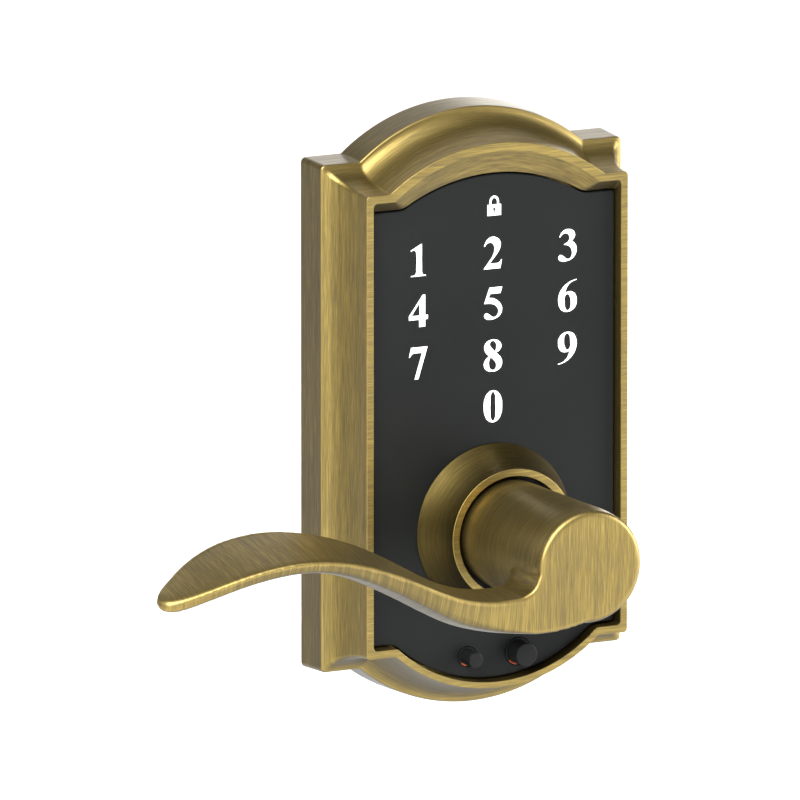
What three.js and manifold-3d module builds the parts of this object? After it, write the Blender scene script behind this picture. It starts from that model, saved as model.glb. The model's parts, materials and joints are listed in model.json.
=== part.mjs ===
// Outside half of a keypad smart lock: arched escutcheon with a touch panel, wave lever,
// clutch cartridge and spindle. Millimetres, +Z up. The origin is on the lever's axis at the
// door face; the lock's front looks along -Y and the door is on the +Y side.

import * as THREE from 'three';
import { mergeVertices } from 'three/addons/utils/BufferGeometryUtils.js';
import Module from 'manifold-3d';

const wasm = await Module();
wasm.setup();

// ---------------------------------------------------------------- driving dimensions

const GAP = 0.3; // air left between two pieces that touch
const CENTRE_Z = 26; // escutcheon centre above the lever's axis

const DOOR_Y = 0;
const BAND_Y = -9.4; // front edge of the straight side band
const BEZEL_Y = -22.2; // flat front rim
const PANEL_Y = -20; // front of the touch panel
const PANEL_BACK_Y = -16.9;
const LEDGE_Y = -16; // ledge that the panel is bonded to
const LEDGE_BACK_Y = -14.2;
const PLATE_FRONT_Y = -3;
const PLATE_BACK_Y = -1.2;

// An outline is a rectangle with shoulders at +-h and an arch of radius r about (0, +-z)
// over the top and under the bottom. "valley" rounds arch to shoulder, "corner" the corners.
const OUTER = {
  w: 38, corner: 1.2, valley: 0.7,
  top: { h: 58.1, r: 43.7, z: 24.57 }, bottom: { h: 58.1, r: 43.7, z: 24.57 },
};
const BAND = {
  w: 37.6, corner: 1.1, valley: 1.1,
  top: { h: 57.7, r: 43.3, z: 24.57 }, bottom: { h: 57.7, r: 43.3, z: 24.57 },
};
const BEZEL = {
  w: 32.5, corner: 0.9, valley: 1.4,
  top: { h: 52.45, r: 43.2, z: 18.3 }, bottom: { h: 52.45, r: 38.5, z: 24.3 },
};
const RIM = {
  w: 30.4, corner: 0.9, valley: 0.8,
  top: { h: 50.5, r: 40.1, z: 19.3 }, bottom: { h: 50.6, r: 36.5, z: 24.5 },
};
const POCKET = {
  w: 30.3, corner: 0.9, valley: 4,
  top: { h: 48, r: 39.8, z: 14.5 }, bottom: { h: 50.5, r: 36.4, z: 24.5 },
};
const CAVITY_FRONT = {
  w: 30.6, corner: 1.5, valley: 3,
  top: { h: 50.4, r: 41.2, z: 18.3 }, bottom: { h: 50.4, r: 36.4, z: 24.3 },
};
const CAVITY = {
  w: 35.4, corner: 1.5, valley: 3,
  top: { h: 55.4, r: 41, z: 24.57 }, bottom: { h: 55.4, r: 41, z: 24.57 },
};
const CAVITY_STEP_Y = -9;
const COVE_STEPS = 6;

const COLLAR_BASE_R = 18.9;
const COLLAR_FACE_R = 15;
const COLLAR_FACE_Y = -29.9;
const COLLAR_TUBE_R = 14.6;
const COLLAR_BORE_R = 13.5;
const COLLAR_STEP_Y = -25.5;
const COLLAR_BACK_Y = -13.6;
const BUSHING_R = 9.9;

const NECK_R = 12.7;
const NECK_BACK_Y = -26;
const HEAD_Y = -67.6; // flat front of the lever's head
const HEAD_R = 12.9;
const STEM_R = 8;
const STEM_BORE_R = 4.9;
const STEM_GROOVE_R = 7.2;
const STEM_SEAT_Y = -44;
const SET_SCREW_R = 1.7;
const SET_SCREW_Y = -36;

// The lever arm, station by station along -X: z of the front face's upper and lower edge,
// depth of the blade, rise of its top towards the back, thickness of its back edge, belly, and
// how far the rounded tip's front edge draws back.
const ARM = [
  { x: 3, up: 4, low: -11.3, deep: 12, rise: 0, back: 9, belly: 0 },
  { x: -4, up: 4, low: -13.2, deep: 13, rise: 0, back: 9, belly: 0 },
  { x: -10.6, up: 3, low: -14, deep: 14.6, rise: 0, back: 8.8, belly: 0.3 },
  { x: -11.8, up: -0.6, low: -14, deep: 15, rise: 0, back: 8.6, belly: 0.4 },
  { x: -13.4, up: -3, low: -13.9, deep: 15.4, rise: 0, back: 8.4, belly: 0.6 },
  { x: -15.6, up: -4.7, low: -13.6, deep: 15.8, rise: 0, back: 8, belly: 0.9 },
  { x: -20, up: -5.4, low: -12.8, deep: 16.4, rise: 0, back: 7, belly: 1.4 },
  { x: -26, up: -5.2, low: -11.1, deep: 17, rise: 0.02, back: 6, belly: 2 },
  { x: -32, up: -3.9, low: -8.8, deep: 17.6, rise: 0.06, back: 5.4, belly: 2.5 },
  { x: -38, up: -1.5, low: -5.7, deep: 18, rise: 0.11, back: 5.2, belly: 2.8 },
  { x: -44, up: 1.3, low: -2.5, deep: 18.4, rise: 0.14, back: 5, belly: 2.8 },
  { x: -50, up: 3.8, low: 0.4, deep: 18.8, rise: 0.155, back: 4.6, belly: 2.7 },
  { x: -56, up: 5.8, low: 2.8, deep: 19.1, rise: 0.16, back: 4, belly: 2.4 },
  { x: -62, up: 7, low: 4.4, deep: 19.2, rise: 0.17, back: 3.5, belly: 2.2 },
  { x: -68, up: 7.4, low: 5, deep: 19.2, rise: 0.19, back: 3, belly: 2.2 },
  { x: -74, up: 7, low: 4.5, deep: 19.1, rise: 0.205, back: 2.8, belly: 2.1 },
  { x: -80, up: 5.9, low: 3.3, deep: 18.4, rise: 0.22, back: 2.6, belly: 1.9 },
  { x: -86, up: 4.2, low: 1.6, deep: 16.6, rise: 0.24, back: 2.4, belly: 1.5 },
  { x: -92, up: 2.3, low: -0.3, deep: 13.4, rise: 0.25, back: 2.2, belly: 1 },
  { x: -96, up: 1.1, low: -1.5, deep: 10.2, rise: 0.25, back: 2.1, belly: 0.6 },
  { x: -98.8, up: 0.4, low: -2.1, deep: 7.4, rise: 0.24, back: 1.9, belly: 0.3, shy: 0.3 },
  { x: -100.4, up: 0.1, low: -2.1, deep: 4.8, rise: 0.22, back: 1.7, belly: 0, shy: 0.9 },
  { x: -101.3, up: -0.2, low: -1.8, deep: 2.2, rise: 0.2, back: 1.3, belly: 0, shy: 1.9 },
];
const ARM_BEND_X = -35; // from here the arm curves back towards the door
const ARM_BEND = 0.0019; // mm of setback per mm squared
const ARM_EDGE = 0.7; // chamfer along the blade's front edges

const STUD_X = 6.35; // half of the 12.7 mm battery terminal spacing
const STUD_Z = -29;
const STUD_Y = -24.3;
const STUD_TAIL_R = 1.2;
const STUDS = [
  { name: 'small', x: -STUD_X, r: 1.75 },
  { name: 'large', x: STUD_X, r: 2.65 },
];
const SEAL_WIDTH = 0.7;
const SEAL_GAP = 0.22;

const POST_X = 19.05; // half of the 38.1 mm mounting bolt spacing
const POST_R = 4;
const POST_END_Y = 28;
const PLATE_SCREWS = [[-30, -20], [30, -20], [-30, 72], [30, 72]];

const MOTOR_Z = 23.2;
const GUIDE = { x: -5.6, z: 18.4, r: 1.2 };
const CAGE_PLATE_Y = 22;
const CAGE_PLATE_T = 1.5;
const CAGE_HALF_WIDTH = 14.2;
const CAGE_R = 26;
const STANDOFFS = [[-11.9, -18], [11.9, -18], [-11.9, 18], [11.9, 18]];

const SPINDLE = 6.6; // square bar
const SPINDLE_END_Y = 52;
const CLUTCH_R = 9;
const DRIVER_R = 9.5;
const DOG = { inner: 6.1, outer: 8.8, half: 16, play: 4 }; // radii, then half angles in degrees
const DOG_TIP_Y = 5;
const CLUTCH_FRONT_Y = 8;
const CLUTCH_BACK_Y = 15;
const GROOVE = { front: 10.5, back: 12.9, r: 6.6 };
const FORK_GAP = 0.3;

// ---------------------------------------------------------------- finishes

const finish = (color, roughness, metalness) => ({ color, roughness, metalness });
const BRASS = finish(0x8f7a45, 0.38, 1);
const BLACK_GLASS = finish(0x363736, 0.42, 0);
const BLACK_METAL = finish(0x2b2b2b, 0.4, 0.6);
const BOARD_GREEN = finish(0x1f4a35, 0.6, 0);
const CLEAR = finish(0xdfe4e2, 0.3, 0);
const STEEL = finish(0x9a9c9d, 0.35, 1);
const ZINC = finish(0xb3b4ae, 0.45, 1);
const RUBBER = finish(0x242424, 0.9, 0);
const ORANGE = finish(0xb3521c, 0.75, 0);
const NYLON = finish(0xd9d6cb, 0.55, 0);
const CHIP = finish(0x1c1c1e, 0.5, 0);

// ---------------------------------------------------------------- shape helpers

const group = new THREE.Group();

function add(name, geometry, look) {
  const mesh = new THREE.Mesh(geometry, new THREE.MeshStandardMaterial(look));
  mesh.name = name;
  group.add(mesh);
  return mesh;
}

function bare(geometry) {
  const copy = geometry.clone();
  copy.deleteAttribute('normal');
  copy.deleteAttribute('uv');
  return mergeVertices(copy, 1e-4);
}

function volume(geometry) {
  const p = geometry.attributes.position;
  const index = geometry.index.array;
  const [a, b, c] = [new THREE.Vector3(), new THREE.Vector3(), new THREE.Vector3()];
  let sum = 0;
  for (let i = 0; i < index.length; i += 3) {
    a.fromBufferAttribute(p, index[i]);
    b.fromBufferAttribute(p, index[i + 1]);
    c.fromBufferAttribute(p, index[i + 2]);
    sum += a.dot(b.cross(c)) / 6;
  }
  return sum;
}

// Turns a geometry right side out.
function outward(geometry) {
  const solid = bare(geometry);
  if (volume(solid) < 0) {
    const index = solid.index.array;
    for (let i = 0; i < index.length; i += 3) {
      [index[i], index[i + 1]] = [index[i + 1], index[i]];
    }
  }
  return solid;
}

function toManifold(geometry) {
  const solid = outward(geometry);
  const mesh = new wasm.Mesh({
    numProp: 3,
    vertProperties: new Float32Array(solid.attributes.position.array),
    triVerts: new Uint32Array(solid.index.array),
  });
  return new wasm.Manifold(mesh);
}

function fromManifold(manifold) {
  const mesh = manifold.getMesh();
  const geometry = new THREE.BufferGeometry();
  geometry.setAttribute('position', new THREE.BufferAttribute(mesh.vertProperties, 3));
  geometry.setIndex(new THREE.BufferAttribute(mesh.triVerts, 1));
  return geometry;
}

const combine = (how) => (first, ...others) => fromManifold(
  others.reduce((solid, other) => solid[how](toManifold(other)), toManifold(first)),
);
const join = combine('add');
const cut = combine('subtract');

// A flat shape drawn in (x, z), filling y0..y1.
function plate(shape, y0, y1, curveSegments = 12) {
  const options = { depth: y1 - y0, bevelEnabled: false, curveSegments };
  const geometry = new THREE.ExtrudeGeometry(shape, options);
  return geometry.rotateX(Math.PI / 2).translate(0, y1, 0);
}

// A round piece about the Y axis. The profile is a list of [radius, y].
function turned(profile, segments = 32, x = 0, z = 0) {
  const points = profile.map(([r, y]) => new THREE.Vector2(r, y));
  return outward(new THREE.LatheGeometry(points, segments)).translate(x, 0, z);
}

function ring(inner, outer, y0, y1, segments, x, z) {
  const profile = [[inner, y0], [outer, y0], [outer, y1], [inner, y1], [inner, y0]];
  return turned(profile, segments, x, z);
}

function rod(r, y0, y1, segments = 16, x = 0, z = 0) {
  return new THREE.CylinderGeometry(r, r, y1 - y0, segments).translate(x, (y0 + y1) / 2, z);
}

function block(x0, x1, y0, y1, z0, z1) {
  const box = new THREE.BoxGeometry(x1 - x0, y1 - y0, z1 - z0);
  return box.translate((x0 + x1) / 2, (y0 + y1) / 2, (z0 + z1) / 2);
}

function rectangle(x0, x1, z0, z1) {
  const corners = [[x0, z0], [x1, z0], [x1, z1], [x0, z1]];
  return new THREE.Shape(corners.map(([x, z]) => new THREE.Vector2(x, z)));
}

const degrees = THREE.MathUtils.degToRad;

// Joins equal rings of points into one closed skin. An open stack gets flat, convex ends; a
// looped stack runs on from its last ring to its first.
function loft(rings, looped) {
  const n = rings[0].length;
  const points = rings.flat();
  const index = [];
  const steps = looped ? rings.length : rings.length - 1;
  for (let i = 0; i < steps; i += 1) {
    for (let j = 0; j < n; j += 1) {
      const a = i * n + j;
      const b = i * n + ((j + 1) % n);
      const c = ((i + 1) % rings.length) * n + j;
      const d = ((i + 1) % rings.length) * n + ((j + 1) % n);
      index.push(a, b, d, a, d, c);
    }
  }
  if (!looped) {
    const end = (rings.length - 1) * n;
    for (let j = 1; j < n - 1; j += 1) {
      index.push(0, j + 1, j, end, end + j, end + j + 1);
    }
  }
  const geometry = new THREE.BufferGeometry().setFromPoints(points);
  geometry.setIndex(index);
  return outward(geometry);
}

// ---------------------------------------------------------------- escutcheon outlines

function arc(cx, cz, r, from, to, steps) {
  const points = [];
  for (let i = 0; i <= steps; i += 1) {
    const angle = from + ((to - from) * i) / steps;
    points.push([cx + r * Math.cos(angle), cz + r * Math.sin(angle)]);
  }
  return points;
}

// Right half of the outline above the centre line, from the side up to the arch's crown.
function quarter(w, corner, valley, { h, r, z }) {
  const right = Math.PI / 2;
  const valleyX = Math.sqrt((r + valley) ** 2 - (h + valley - z) ** 2);
  const meet = Math.atan2(h + valley - z, valleyX);
  return [
    ...arc(w - corner, h - corner, corner, 0, right, 3),
    ...arc(valleyX, h + valley, valley, -right, meet - Math.PI, 3),
    ...arc(0, z, r, meet, right, 10).slice(1),
  ];
}

function outline({ w, corner, valley, top, bottom }, inset = 0) {
  const shrink = (arch) => ({ h: arch.h - inset, r: arch.r - inset, z: arch.z });
  const upper = quarter(w - inset, corner, valley + inset, shrink(top));
  const lower = quarter(w - inset, corner, valley + inset, shrink(bottom)).map(([x, z]) => [x, -z]);
  const rightSide = [...lower.reverse(), ...upper];
  const leftSide = rightSide.slice(1, -1).reverse().map(([x, z]) => [-x, z]);
  return [...rightSide, ...leftSide];
}

const outlineAt = (points, y) => points.map(([x, z]) => new THREE.Vector3(x, y, z + CENTRE_Z));
const outlineFlat = (points) => points.map(([x, z]) => new THREE.Vector2(x, z + CENTRE_Z));
const outlineShape = (points) => new THREE.Shape(outlineFlat(points));
const mix = (a, b, t) => a + (b - a) * t;
const blend = (from, to, t) => from.map(([x, z], i) => [mix(x, to[i][0], t), mix(z, to[i][1], t)]);

function circleHole(shape, x, z, r) {
  shape.holes.push(new THREE.Path().absarc(x, z, r, 0, 2 * Math.PI, true));
}

// ---------------------------------------------------------------- escutcheon and panel

const WINDOW = {
  w: 26.8, corner: 1, valley: 1.5,
  top: { h: 44.7, r: 36.8, z: 14.8 }, bottom: { h: 48.2, r: 34, z: 24.5 },
};

function housing() {
  const skin = [[OUTER, DOOR_Y], [BAND, BAND_Y]].map(([shape, y]) => outlineAt(outline(shape), y));
  for (let i = 1; i <= COVE_STEPS; i += 1) {
    const angle = (i / COVE_STEPS) * (Math.PI / 2);
    const y = BEZEL_Y + (BAND_Y - BEZEL_Y) * Math.cos(angle);
    skin.push(outlineAt(blend(outline(BAND), outline(BEZEL), Math.sin(angle)), y));
  }
  const inside = [
    [RIM, BEZEL_Y], [POCKET, PANEL_Y], [POCKET, LEDGE_Y], [WINDOW, LEDGE_Y],
    [WINDOW, LEDGE_BACK_Y], [CAVITY_FRONT, LEDGE_BACK_Y], [CAVITY, CAVITY_STEP_Y], [CAVITY, DOOR_Y],
  ].map(([shape, y]) => outlineAt(outline(shape), y));
  const shell = loft([...skin, ...inside], true);
  const bosses = PLATE_SCREWS.map(([x, z]) => (
    rod(3.2, LEDGE_BACK_Y - 0.6, PLATE_FRONT_Y - GAP, 20, x, z)
  ));
  const bores = PLATE_SCREWS.map(([x, z]) => rod(1.6, -11.6, PLATE_BACK_Y, 16, x, z));
  return cut(join(shell, ...bosses), ...bores);
}

function touchLens() {
  const shape = outlineShape(outline(POCKET, 0.5));
  circleHole(shape, 0, 0, COLLAR_TUBE_R + GAP);
  STUDS.forEach(({ x, r }) => circleHole(shape, x, STUD_Z, r + SEAL_WIDTH + 2 * SEAL_GAP));
  return plate(shape, PANEL_Y, PANEL_BACK_Y);
}

function lensGasket() {
  const shape = outlineShape(outline(POCKET, 0.8));
  shape.holes.push(new THREE.Path(outlineFlat(outline(WINDOW, -0.4))));
  return plate(shape, PANEL_BACK_Y + 0.25, LEDGE_Y - 0.25);
}

function boardShape(inset) {
  const shape = outlineShape(outline(WINDOW, inset));
  circleHole(shape, 0, 0, COLLAR_TUBE_R + 0.6);
  STUDS.forEach(({ x }) => circleHole(shape, x, STUD_Z, STUD_TAIL_R + GAP));
  return shape;
}

function lightGuide() {
  const shape = rectangle(-24.6, 24.6, 19, 68);
  return plate(shape, -15, LEDGE_BACK_Y + 0.8);
}

function controlBoard() {
  const shape = rectangle(-27, 27, 30.5, 70);
  [[-24, 33.5], [24, 33.5], [-24, 67], [24, 67]].forEach(([x, z]) => circleHole(shape, x, z, 1.4));
  return plate(shape, -12.6, -11);
}

function connector() {
  const shell = block(-9, 9, -10.7, -4.2, 58, 65);
  return cut(shell, block(-7.8, 7.8, -8.4, -3, 59.2, 63.8));
}

// A round sounder with a blind hole in the middle of its face.
function sounder() {
  const profile = [[0, -10.7], [6, -10.7], [6, -6.6], [1.2, -6.6], [1.2, -7.6], [0, -7.6]];
  return turned(profile, 28, 17, 42);
}

function contactStud({ x, r }) {
  const edge = 0.35;
  const profile = [
    [0, STUD_Y], [r - edge, STUD_Y], [r, STUD_Y + edge], [r, PANEL_BACK_Y],
    [STUD_TAIL_R, PANEL_BACK_Y], [STUD_TAIL_R, -13.2], [0, -13.2],
  ];
  return turned(profile, 28, x, STUD_Z);
}

function contactSeal({ x, r }) {
  return ring(r + SEAL_GAP, r + SEAL_GAP + SEAL_WIDTH, PANEL_Y + 0.35, PANEL_BACK_Y, 28, x, STUD_Z);
}

add('escutcheon_housing', housing(), BRASS);
add('touch_lens', touchLens(), BLACK_GLASS);
add('lens_gasket', lensGasket(), RUBBER);
add('touch_sensor_board', plate(boardShape(0.5), LEDGE_Y - 0.1, -15.3), BOARD_GREEN);
add('light_guide', lightGuide(), CLEAR);
add('control_board', controlBoard(), BOARD_GREEN);
add('processor_chip', block(-6, 6, -10.7, -9.2, 42, 54), CHIP);
add('harness_header', connector(), NYLON);
add('sounder', sounder(), CHIP);
for (const stud of STUDS) {
  add(`contact_stud_${stud.name}`, contactStud(stud), BLACK_METAL);
  add(`contact_seal_${stud.name}`, contactSeal(stud), ORANGE);
}

// ---------------------------------------------------------------- collar, plate and fixings

function roseCollar() {
  const baseY = PANEL_Y - 0.25;
  const flank = [];
  const steps = 8;
  for (let i = 0; i <= steps; i += 1) {
    const t = i / steps;
    const r = COLLAR_FACE_R + (COLLAR_BASE_R - COLLAR_FACE_R) * (1 - t) ** 1.6;
    flank.push([r, baseY + (COLLAR_FACE_Y - baseY) * t]);
  }
  return turned([
    ...flank,
    [COLLAR_BORE_R, COLLAR_FACE_Y], [COLLAR_BORE_R, COLLAR_STEP_Y],
    [BUSHING_R + GAP, COLLAR_STEP_Y], [BUSHING_R + GAP, COLLAR_BACK_Y],
    [COLLAR_TUBE_R, COLLAR_BACK_Y], [COLLAR_TUBE_R, baseY], flank[0],
  ], 40);
}

function backPlate() {
  const shape = outlineShape(outline(CAVITY, 0.4));
  circleHole(shape, 0, 0, STEM_R + GAP);
  circleHole(shape, 0, MOTOR_Z, 2.2);
  PLATE_SCREWS.forEach(([x, z]) => circleHole(shape, x, z, 1.6));
  return plate(shape, PLATE_FRONT_Y, PLATE_BACK_Y);
}

function doorGasket() {
  const shape = outlineShape(outline(CAVITY, 0.6));
  shape.holes.push(new THREE.Path(outlineFlat(outline(CAVITY, 2.8))));
  return plate(shape, PLATE_BACK_Y + GAP, DOOR_Y);
}

function mountingPost(x) {
  const body = rod(POST_R, PLATE_BACK_Y + 0.2, POST_END_Y, 24, x);
  const flats = join(body, rod(5.4, PLATE_BACK_Y + 0.2, 1.2, 6, x));
  return cut(flats, rod(2.5, 12, POST_END_Y + 1, 20, x));
}

// A pan-head screw whose head faces +Y, with a cross recess.
function screw(x, z, headY, headR, headT, shankR, tipY) {
  const profile = [
    [0, tipY], [shankR, tipY], [shankR, headY], [headR, headY],
    [headR, headY + headT * 0.7], [headR * 0.85, headY + headT], [0, headY + headT],
  ];
  const arm = headR * 0.55;
  const slit = headR * 0.14;
  const depth = headT * 0.6;
  const cross = [[arm, slit], [slit, arm]].map(([a, b]) => (
    block(x - a, x + a, headY + headT - depth, headY + headT + 1, z - b, z + b)
  ));
  return cut(turned(profile, 20, x, z), ...cross);
}

add('rose_collar', roseCollar(), BRASS);
add('neck_bushing', ring(STEM_R + GAP, BUSHING_R, COLLAR_STEP_Y + GAP, COLLAR_BACK_Y - GAP, 40), NYLON);
add('back_plate', backPlate(), STEEL);
add('door_gasket', doorGasket(), RUBBER);
add('mounting_post_left', mountingPost(-POST_X), ZINC);
add('mounting_post_right', mountingPost(POST_X), ZINC);
PLATE_SCREWS.forEach(([x, z], i) => {
  add(`plate_screw_${i + 1}`, screw(x, z, PLATE_BACK_Y + 0.15, 2.6, 0.9, 1.25, -11), ZINC);
});

// ---------------------------------------------------------------- return spring cage

const CAGE_WALL_R = 18.2;

function springCage() {
  const cup = [
    [STEM_R + 0.6, -13], [CAGE_WALL_R, -13], [CAGE_WALL_R, -3.4], [CAGE_WALL_R - 1.2, -3.4],
    [CAGE_WALL_R - 1.2, -11.8], [STEM_R + 0.6, -11.8], [STEM_R + 0.6, -13],
  ];
  return turned(cup, 40);
}

// A flat spiral of strip, wound about the lever's axis.
function returnSpring() {
  const turns = 2.6;
  const steps = 58;
  const strip = 0.9;
  const side = (offset) => Array.from({ length: steps + 1 }, (_, i) => {
    const t = i / steps;
    const r = 9.6 + 5.6 * t + offset;
    const angle = t * turns * 2 * Math.PI;
    return new THREE.Vector2(r * Math.cos(angle), r * Math.sin(angle));
  });
  const shape = new THREE.Shape([...side(0), ...side(strip).reverse()]);
  return plate(shape, -11.2, -4.6);
}

add('spring_cage', springCage(), STEEL);
add('return_spring', returnSpring(), STEEL);

// ---------------------------------------------------------------- lever

const setback = (x) => (x < ARM_BEND_X ? ARM_BEND * (x - ARM_BEND_X) ** 2 : 0);

// Section of the blade at one station, as a ring in a plane of constant x.
function armSection({ x, up, low, deep, rise, back, belly, shy = 0 }) {
  const front = HEAD_Y + setback(x) + shy;
  const rear = front + deep;
  const edge = Math.min(ARM_EDGE, (up - low) / 3, deep / 3);
  const rearTop = up + rise * deep;
  const rearLow = rearTop - back;
  const crown = 0.25;
  const mid = (low + rearLow) / 2 - belly;
  const half = (front + rear) / 2;
  const nose = Math.min(back / 2, deep / 3);
  return [
    [front, low + edge], [front, up - edge], [front + edge, up],
    [half, (up + rearTop) / 2 + crown], [rear - nose, rearTop],
    [rear - nose * 0.25, rearTop - back * 0.2], [rear, rearTop - back * 0.5],
    [rear - nose * 0.25, rearLow + back * 0.2], [rear - nose, rearLow - belly * 0.3],
    [half, mid], [front + edge * 1.5, low - belly * 0.15],
  ].map(([y, z]) => new THREE.Vector3(x, y, z));
}

// A round bar standing along Z through the set screw's place in the neck.
function upright(r, length, segments, middle) {
  const bar = new THREE.CylinderGeometry(r, r, length, segments);
  return bar.rotateX(Math.PI / 2).translate(0, SET_SCREW_Y, middle);
}

function leverHandle() {
  const hub = turned([
    [0, HEAD_Y], [HEAD_R - 1.9, HEAD_Y], [HEAD_R - 0.9, HEAD_Y + 0.4],
    [HEAD_R - 0.3, HEAD_Y + 1.2], [HEAD_R, HEAD_Y + 3], [HEAD_R, HEAD_Y + 6],
    [NECK_R, -52], [NECK_R, NECK_BACK_Y], [0, NECK_BACK_Y],
  ], 48);
  const arm = loft(ARM.map(armSection), false);
  const seat = rod(STEM_R + GAP, STEM_SEAT_Y, NECK_BACK_Y + 1, 32);
  return cut(join(hub, arm), seat, upright(SET_SCREW_R + GAP, 8, 16, -12));
}

function leverStem() {
  return turned([
    [STEM_BORE_R, STEM_SEAT_Y + GAP], [STEM_R, STEM_SEAT_Y + GAP],
    [STEM_R, -1.05], [STEM_GROOVE_R, -1.05], [STEM_GROOVE_R, 0.05], [STEM_R, 0.05],
    [STEM_R, 0.3], [STEM_BORE_R, 0.3], [STEM_BORE_R, STEM_SEAT_Y + GAP],
  ], 40);
}

function setScrew() {
  return cut(upright(SET_SCREW_R, 3.6, 16, -10.3), upright(0.9, 3, 6, -12.4));
}

// Block of the clutch dog's outline, or of the slot it drops into.
function sector(inner, outer, halfAngle, at, y0, y1) {
  const shape = new THREE.Shape();
  shape.absarc(0, 0, outer, degrees(at - halfAngle), degrees(at + halfAngle), false);
  shape.absarc(0, 0, inner, degrees(at + halfAngle), degrees(at - halfAngle), true);
  return plate(shape, y0, y1, 6);
}

const DOG_ANGLES = [90, 210, 330];
const DRIVER_FRONT_Y = 0.6;
const DRIVER_FLOOR_Y = 1.8;
const DRIVER_BACK_Y = 4.5;

function driverCup() {
  const cup = ring(STEM_BORE_R + GAP, DRIVER_R, DRIVER_FRONT_Y, DRIVER_BACK_Y, 40);
  const half = DOG.half + DOG.play;
  const slots = DOG_ANGLES.map((at) => (
    sector(DOG.inner - GAP, DRIVER_R + 1, half, at, DRIVER_FLOOR_Y, DRIVER_BACK_Y + 1)
  ));
  return cut(cup, ...slots);
}

// A snap ring with a gap for its pliers.
function snapRing(inner, outer, y0, y1) {
  return cut(ring(inner, outer, y0, y1, 36), block(-1.2, 1.2, y0 - 1, y1 + 1, -outer - 1, 0));
}

add('lever_handle', leverHandle(), BRASS);
add('lever_stem', leverStem(), STEEL);
add('lever_set_screw', setScrew(), STEEL);
add('stem_snap_ring', snapRing(7.45, 10.4, -0.9, -0.1), STEEL);
add('driver_cup', driverCup(), ZINC);

// ---------------------------------------------------------------- clutch and spindle

const squareBar = (side, y0, y1) => block(-side / 2, side / 2, y0, y1, -side / 2, side / 2);
const BROACH = SPINDLE + 0.5;

function clutchCollar() {
  const body = turned([
    [0, CLUTCH_FRONT_Y], [CLUTCH_R, CLUTCH_FRONT_Y], [CLUTCH_R, GROOVE.front],
    [GROOVE.r, GROOVE.front], [GROOVE.r, GROOVE.back], [CLUTCH_R, GROOVE.back],
    [CLUTCH_R, CLUTCH_BACK_Y], [0, CLUTCH_BACK_Y],
  ], 40);
  const dogs = DOG_ANGLES.map((at) => (
    sector(DOG.inner, DOG.outer, DOG.half, at, DOG_TIP_Y, CLUTCH_FRONT_Y + 1)
  ));
  return cut(join(body, ...dogs), squareBar(BROACH, CLUTCH_FRONT_Y - 1, CLUTCH_BACK_Y + 1));
}

// A coil about the Y axis, swept along its helix.
function clutchSpring() {
  const turns = 2.5;
  const steps = 40;
  const [y0, y1, r] = [16.1, 18, 6.6];
  const points = Array.from({ length: steps + 1 }, (_, i) => {
    const angle = (i / steps) * turns * 2 * Math.PI;
    return new THREE.Vector3(r * Math.cos(angle), y0 + ((y1 - y0) * i) / steps, r * Math.sin(angle));
  });
  const wire = new THREE.Shape().absarc(0, 0, 0.36, 0, 2 * Math.PI, false);
  return new THREE.ExtrudeGeometry(wire, {
    steps: steps + 8,
    extrudePath: new THREE.CatmullRomCurve3(points),
    bevelEnabled: false,
    curveSegments: 3,
  });
}

function spindleHub() {
  const body = turned([[0, 18.9], [8.6, 18.9], [8.6, 21.6], [5.7, 21.6], [5.7, 25], [0, 25]], 36);
  return cut(body, squareBar(BROACH, 18, 26));
}

add('clutch_collar', clutchCollar(), ZINC);
add('clutch_spring', clutchSpring(), STEEL);
add('spindle_bar', squareBar(SPINDLE, 1.2, SPINDLE_END_Y), STEEL);
add('spindle_hub', spindleHub(), ZINC);
add('hub_snap_ring', snapRing(6, 8.2, 23.8, 24.6), STEEL);

// ---------------------------------------------------------------- motor, fork and cage

function motorCan() {
  const profile = [
    [0, -12.6], [2, -12.6], [2, -12], [4.6, -12], [4.6, -4], [2.4, -4], [2.4, -3.4], [0, -3.4],
  ];
  return turned(profile, 28, 0, MOTOR_Z);
}

function leadScrew() {
  const tip = CAGE_PLATE_Y + 1.2;
  const profile = [[0, -3.1], [1.6, -3.1], [1.6, 20.4], [1, 20.8], [1, tip], [0, tip]];
  const slit = block(-0.35, 0.35, tip - 0.7, tip + 1, MOTOR_Z - 2, MOTOR_Z + 2);
  return cut(turned(profile, 20, 0, MOTOR_Z), slit);
}

function shiftFork() {
  const y0 = GROOVE.front + FORK_GAP;
  const y1 = GROOVE.back - FORK_GAP;
  const yoke = ring(GROOVE.r + FORK_GAP, 11.4, y0, y1, 40);
  const stem = block(-2.8, 2.8, y0, y1, 9.5, MOTOR_Z);
  const lug = block(GUIDE.x, 0, y0, y1, GUIDE.z - 2.4, GUIDE.z + 2.4);
  const solid = join(
    yoke, stem, lug,
    rod(2.4, y0, y1, 20, GUIDE.x, GUIDE.z), rod(3.1, y0 - 1.6, y1 + 1.6, 24, 0, MOTOR_Z),
  );
  return cut(
    solid,
    block(-GROOVE.r - FORK_GAP, GROOVE.r + FORK_GAP, y0 - 1, y1 + 1, -14, 0),
    rod(1.9, y0 - 3, y1 + 3, 20, 0, MOTOR_Z), rod(GUIDE.r + GAP, y0 - 1, y1 + 1, 16, GUIDE.x, GUIDE.z),
  );
}

function cagePlate() {
  const swing = Math.acos(CAGE_HALF_WIDTH / CAGE_R);
  const shape = new THREE.Shape();
  shape.absarc(0, 0, CAGE_R, swing, Math.PI - swing, false);
  shape.absarc(0, 0, CAGE_R, Math.PI + swing, 2 * Math.PI - swing, false);
  circleHole(shape, 0, 0, 6);
  circleHole(shape, 0, MOTOR_Z, 1.3);
  STANDOFFS.forEach(([x, z]) => circleHole(shape, x, z, 1.4));
  return plate(shape, CAGE_PLATE_Y, CAGE_PLATE_Y + CAGE_PLATE_T, 10);
}

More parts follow.
